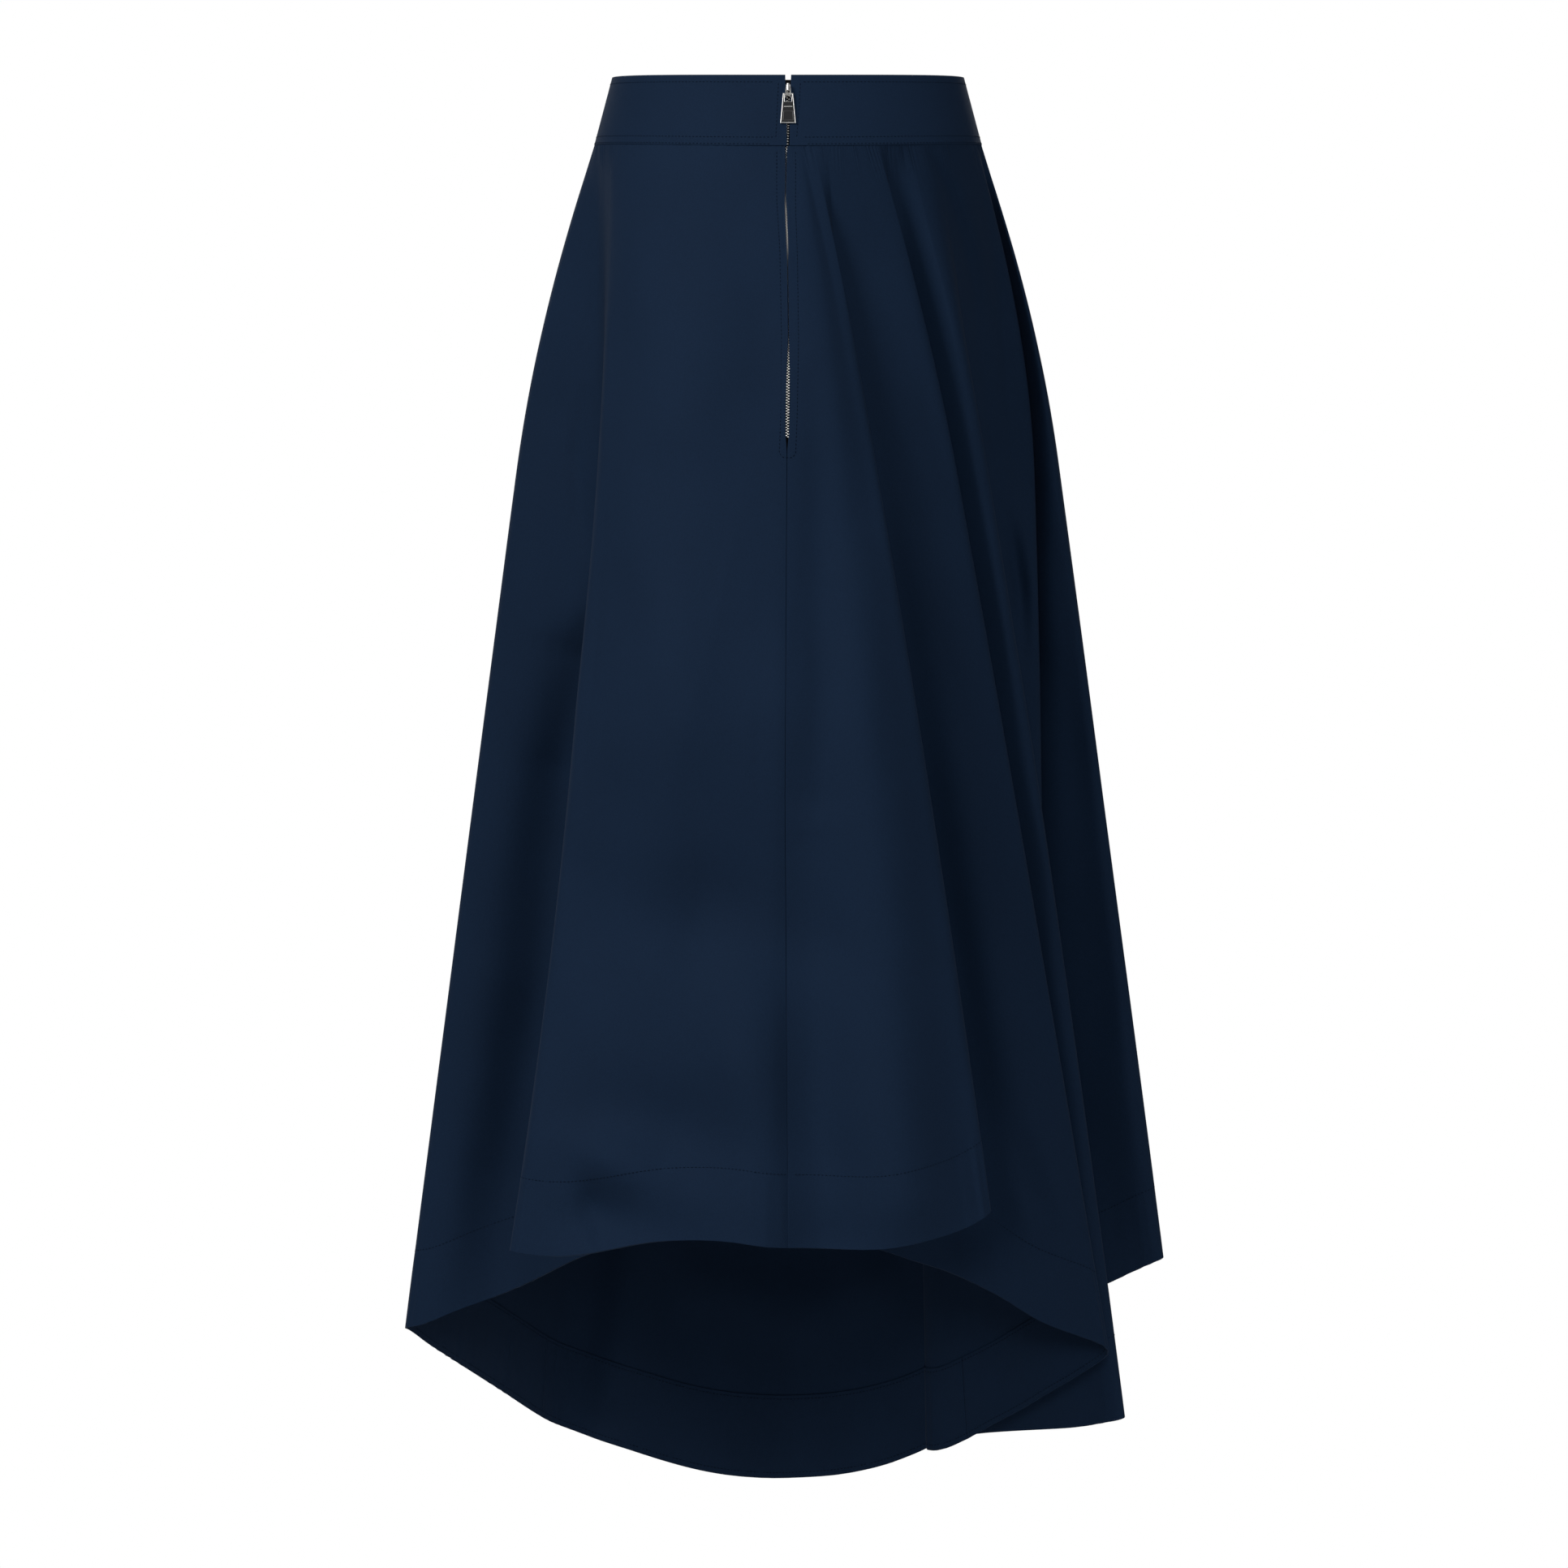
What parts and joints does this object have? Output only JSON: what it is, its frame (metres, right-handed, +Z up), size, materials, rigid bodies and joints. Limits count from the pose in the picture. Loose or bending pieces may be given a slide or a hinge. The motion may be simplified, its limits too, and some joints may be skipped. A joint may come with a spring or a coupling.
{
  "type": "asymmetric skirt",
  "caption": "Flared midi skirt with a wide shaped waistband, centre-front zip, deep flutes and a hem that is short in front and long behind.",
  "frame": {"origin": "centre of the waist, half way up the waistband, where a wearer's waist or a hanger's clips hold the skirt", "axes": "+Z up out of the waist, +X to the right as seen from the front, -Y towards the front with the zip"},
  "size_m": [0.5656, 0.5248, 1.072],
  "materials": {
    "cloth": "matt fine-woven cotton",
    "tape": "woven tape",
    "zip_metal": "polished",
    "enamel": "gloss, with a metal rim"
  },
  "bodies": {
    "skirt": {"waistband": "cloth", "panel_front_left": "cloth", "panel_front_right": "cloth", "panel_back": "cloth", "facing_front": "cloth", "facing_side": "cloth", "facing_back": "cloth", "zip_tape_left": "tape", "zip_tape_right": "tape", "zip_chain": "zip_metal", "zip_bottom_stop": "zip_metal", "zip_slider": "zip_metal"},
    "link": {"pull_link": "zip_metal"},
    "tab": {"pull_tab": "enamel"}
  },
  "joints": [
    {"name": "link_swing", "type": "hinge", "parent": "skirt", "child": "link", "pos_m": [0, -0.09812, 0.01251], "axis": [-1, 0, 0], "range_deg": [0, 85]},
    {"name": "tab_swing", "type": "hinge", "parent": "link", "child": "tab", "pos_m": [0, -0.09879, 0.00722], "axis": [-1, 0, 0], "range_deg": [0, 80]}
  ]
}
